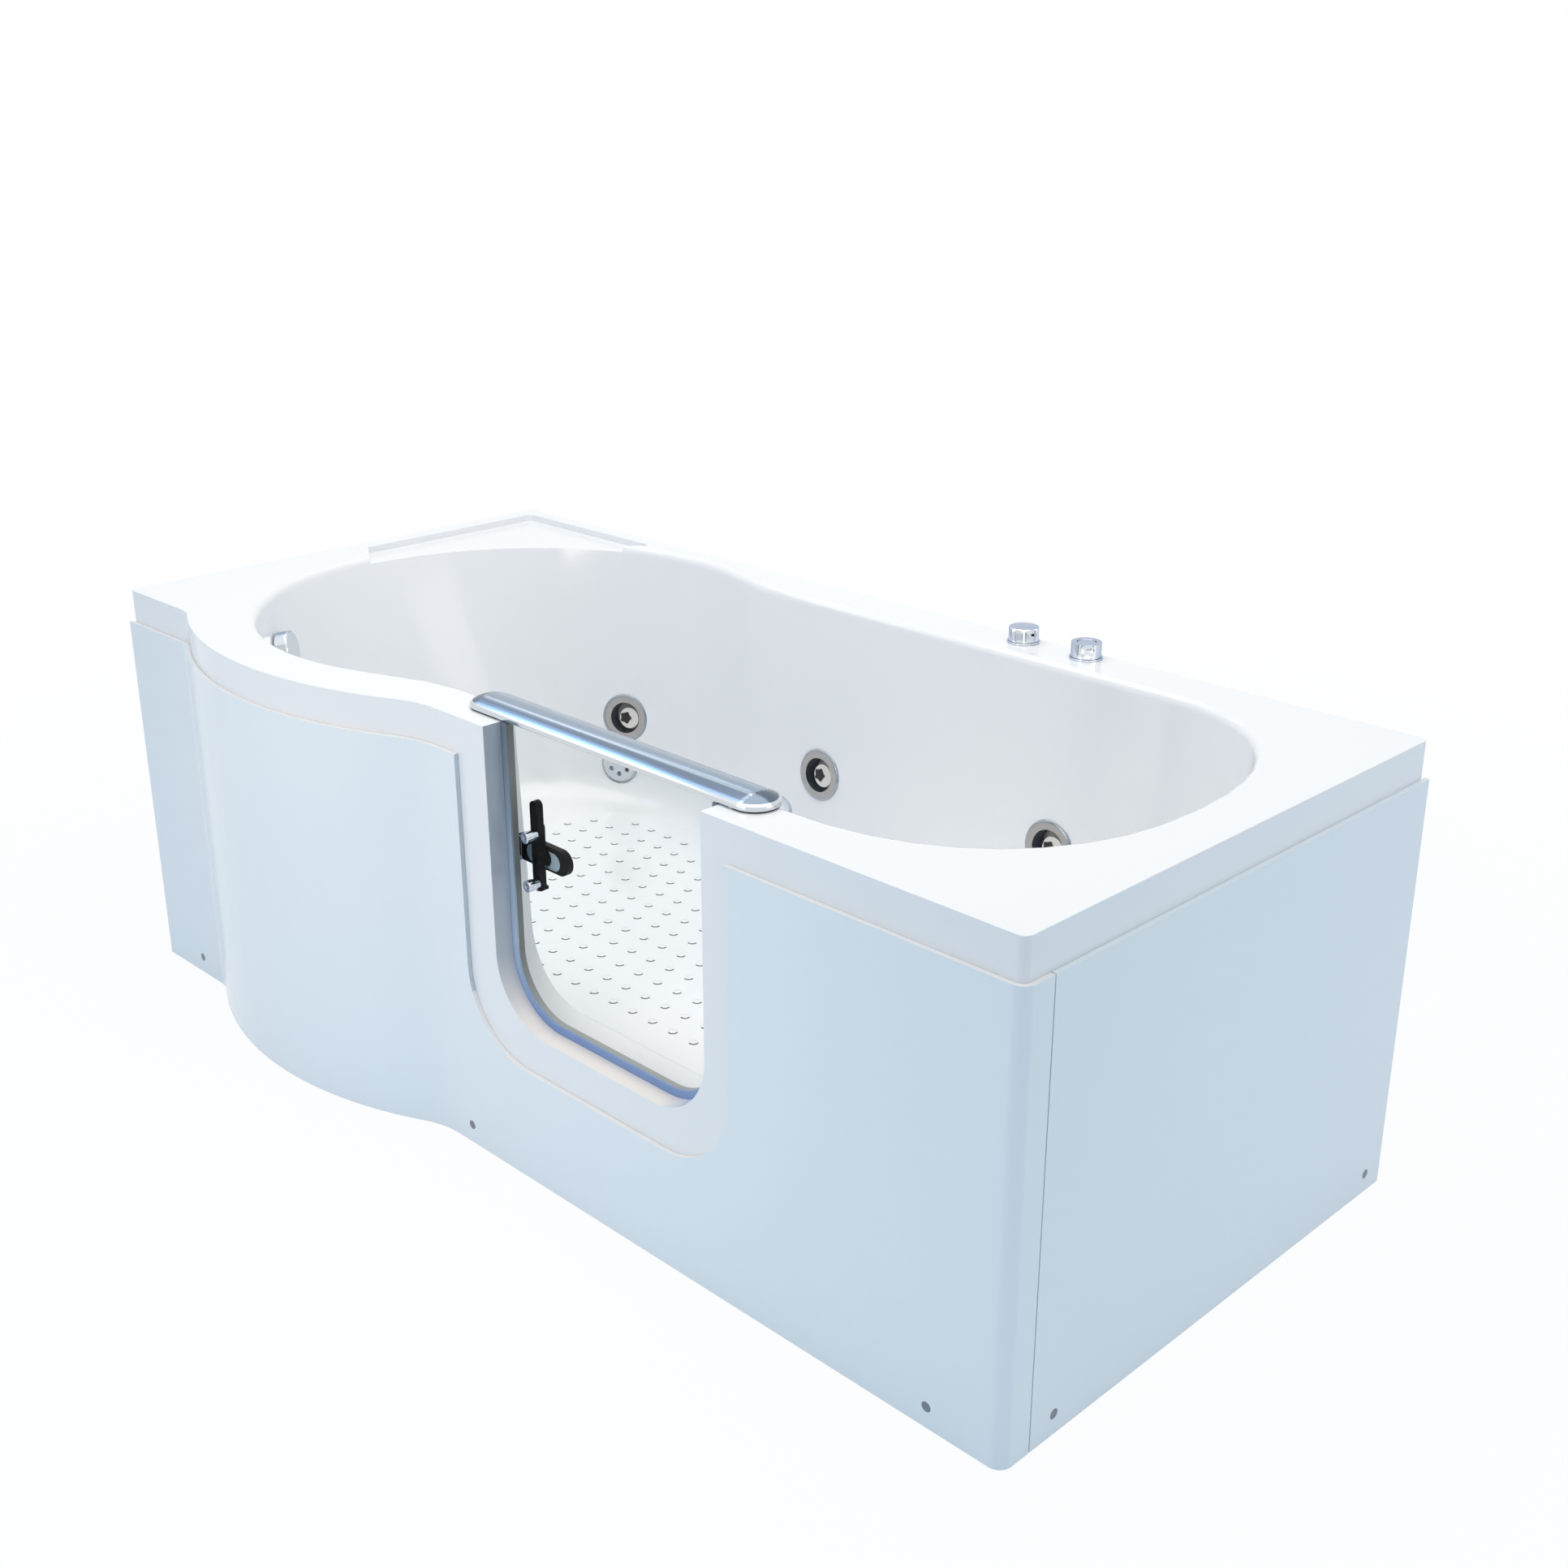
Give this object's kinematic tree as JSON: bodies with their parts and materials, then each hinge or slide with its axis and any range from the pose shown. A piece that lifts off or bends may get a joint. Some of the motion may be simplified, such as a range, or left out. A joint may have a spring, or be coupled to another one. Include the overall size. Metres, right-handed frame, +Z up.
{
  "type": "walk-in bathtub with door",
  "caption": "Walk-in bathtub: moulded white tub with a bulging round end, an inward-opening glass door, massage jets, pop-up waste, wrap-round panels and levelling feet",
  "frame": {"origin": "middle of the bath's footprint, on the floor", "axes": "+X along the bath to the square end, the round end at -X; +Y from the front with the doorway to the back at the wall; +Z up"},
  "size_m": [1.7066, 0.8395, 0.622],
  "materials": {
    "shell_white": "gloss",
    "panel_blue": "gloss",
    "frame_grey": "satin",
    "seal_rubber": "matte",
    "black_rubber": "matte",
    "board_wood": "matte",
    "steel": "brushed",
    "leg_paint": "satin",
    "cap_grey": "gloss",
    "chrome": "polished",
    "rail_metal": "polished",
    "jet_face": "satin",
    "rotor_black": "satin",
    "pipe_white": "matte",
    "pump_black": "matte",
    "motor_grey": "satin",
    "door_glass": "clear",
    "latch_black": "gloss",
    "inlay_blue": "satin"
  },
  "bodies": {
    "bath": {"tub_shell": "shell_white", "base_board": "board_wood", "door_frame": "frame_grey", "door_seal": "seal_rubber", "front_panel": "panel_blue", "end_panel": "panel_blue", "panel_blocks": "board_wood", "panel_screws": "steel", "screw_caps": "cap_grey", "leg_bar_left": "leg_paint", "leg_bar_middle": "leg_paint", "leg_bar_right": "leg_paint", "portal_post_left": "leg_paint", "portal_post_right": "leg_paint", "portal_sill_beam": "leg_paint", "foot_studs": "steel", "foot_nuts": "steel", "foot_pads": "black_rubber", "hinge_post": "chrome", "hinge_brackets": "chrome", "latch_keeper": "chrome", "fixing_screws": "steel", "jet_flange_left": "jet_face", "jet_flange_middle": "jet_face", "jet_flange_right": "jet_face", "jet_body_left": "pipe_white", "jet_body_middle": "pipe_white", "jet_body_right": "pipe_white", "suction_cover": "chrome", "suction_body": "pipe_white", "water_manifold": "pipe_white", "air_manifold": "pipe_white", "suction_pipe": "pipe_white", "pump_volute": "pump_black", "pump_motor": "motor_grey", "air_valve_body": "chrome", "switch_body": "chrome", "overflow_body": "pipe_white", "overflow_pipe": "pipe_white", "drain_flange": "chrome", "drain_trap": "pipe_white"},
    "door": {"door_glass": "door_glass", "top_rail": "rail_metal", "rail_gaskets": "black_rubber", "hinge_clamps": "chrome", "latch_body": "latch_black", "latch_bolts": "chrome"},
    "latch": {"latch_spindle": "latch_black", "latch_handle": "latch_black", "latch_inlay": "inlay_blue"},
    "air_regulator": {"air_knob": "chrome"},
    "switch_ring": {"switch_collar": "chrome"},
    "start_button_body": {"start_button": "chrome"},
    "waste_knob": {"overflow_knob": "chrome"},
    "plug": {"drain_plug": "chrome"},
    "nozzle_left": {"jet_nozzle_left": "jet_face"},
    "nozzle_middle": {"jet_nozzle_middle": "jet_face"},
    "nozzle_right": {"jet_nozzle_right": "jet_face"},
    "pump_rotor": {"pump_impeller": "rotor_black"}
  },
  "joints": [
    {"name": "door_swing", "type": "hinge", "parent": "bath", "child": "door", "pos_m": [0.42875, -0.25025, 0.4], "axis": [0, 0, -1], "range_deg": [0, 90]},
    {"name": "latch_turn", "type": "hinge", "parent": "door", "child": "latch", "pos_m": [0.05675, -0.27825, 0.421], "axis": [0, -1, 0], "range_deg": [0, 90]},
    {"name": "air_knob_turn", "type": "hinge", "parent": "bath", "child": "air_regulator", "pos_m": [0.26275, 0.39675, 0.61], "axis": [0, 0, 1], "range_deg": [0, 270]},
    {"name": "switch_ring_turn", "type": "hinge", "parent": "bath", "child": "switch_ring", "pos_m": [0.36775, 0.39675, 0.61], "axis": [0, 0, 1], "range_deg": [0, 90]},
    {"name": "button_push", "type": "slide", "parent": "bath", "child": "start_button_body", "axis": [0, 0, -1], "range_m": [0, 0.004], "stiffness_N_per_m": 800, "springref_m": -0.002},
    {"name": "waste_knob_turn", "type": "hinge", "parent": "bath", "child": "waste_knob", "pos_m": [-0.65045, -0.21595, 0.5227], "axis": [0.731, 0.6567, 0.1854], "range_deg": [0, 120]},
    {"name": "plug_lift", "type": "slide", "parent": "bath", "child": "plug", "axis": [0, 0, 1], "range_m": [0, 0.012]},
    {"name": "nozzle_left_turn", "type": "hinge", "parent": "bath", "child": "nozzle_left", "pos_m": [-0.51156, 0.33449, 0.316], "axis": [0.3994, -0.909, 0.1188], "range_deg": [0, 180]},
    {"name": "nozzle_middle_turn", "type": "hinge", "parent": "bath", "child": "nozzle_middle", "pos_m": [-0.04825, 0.32006, 0.342], "axis": [0, -0.9954, 0.0959], "range_deg": [0, 180]},
    {"name": "nozzle_right_turn", "type": "hinge", "parent": "bath", "child": "nozzle_right", "pos_m": [0.37975, 0.32092, 0.351], "axis": [0, -0.9954, 0.0959], "range_deg": [0, 180]},
    {"name": "pump_spin", "type": "hinge", "parent": "bath", "child": "pump_rotor", "pos_m": [0.77875, 0.19175, 0.084], "axis": [0, 1, 0], "continuous": true}
  ],
  "couplings": [
    {"joint": "plug_lift", "follows": "waste_knob_turn", "m_per_rad": 0.00573}
  ]
}
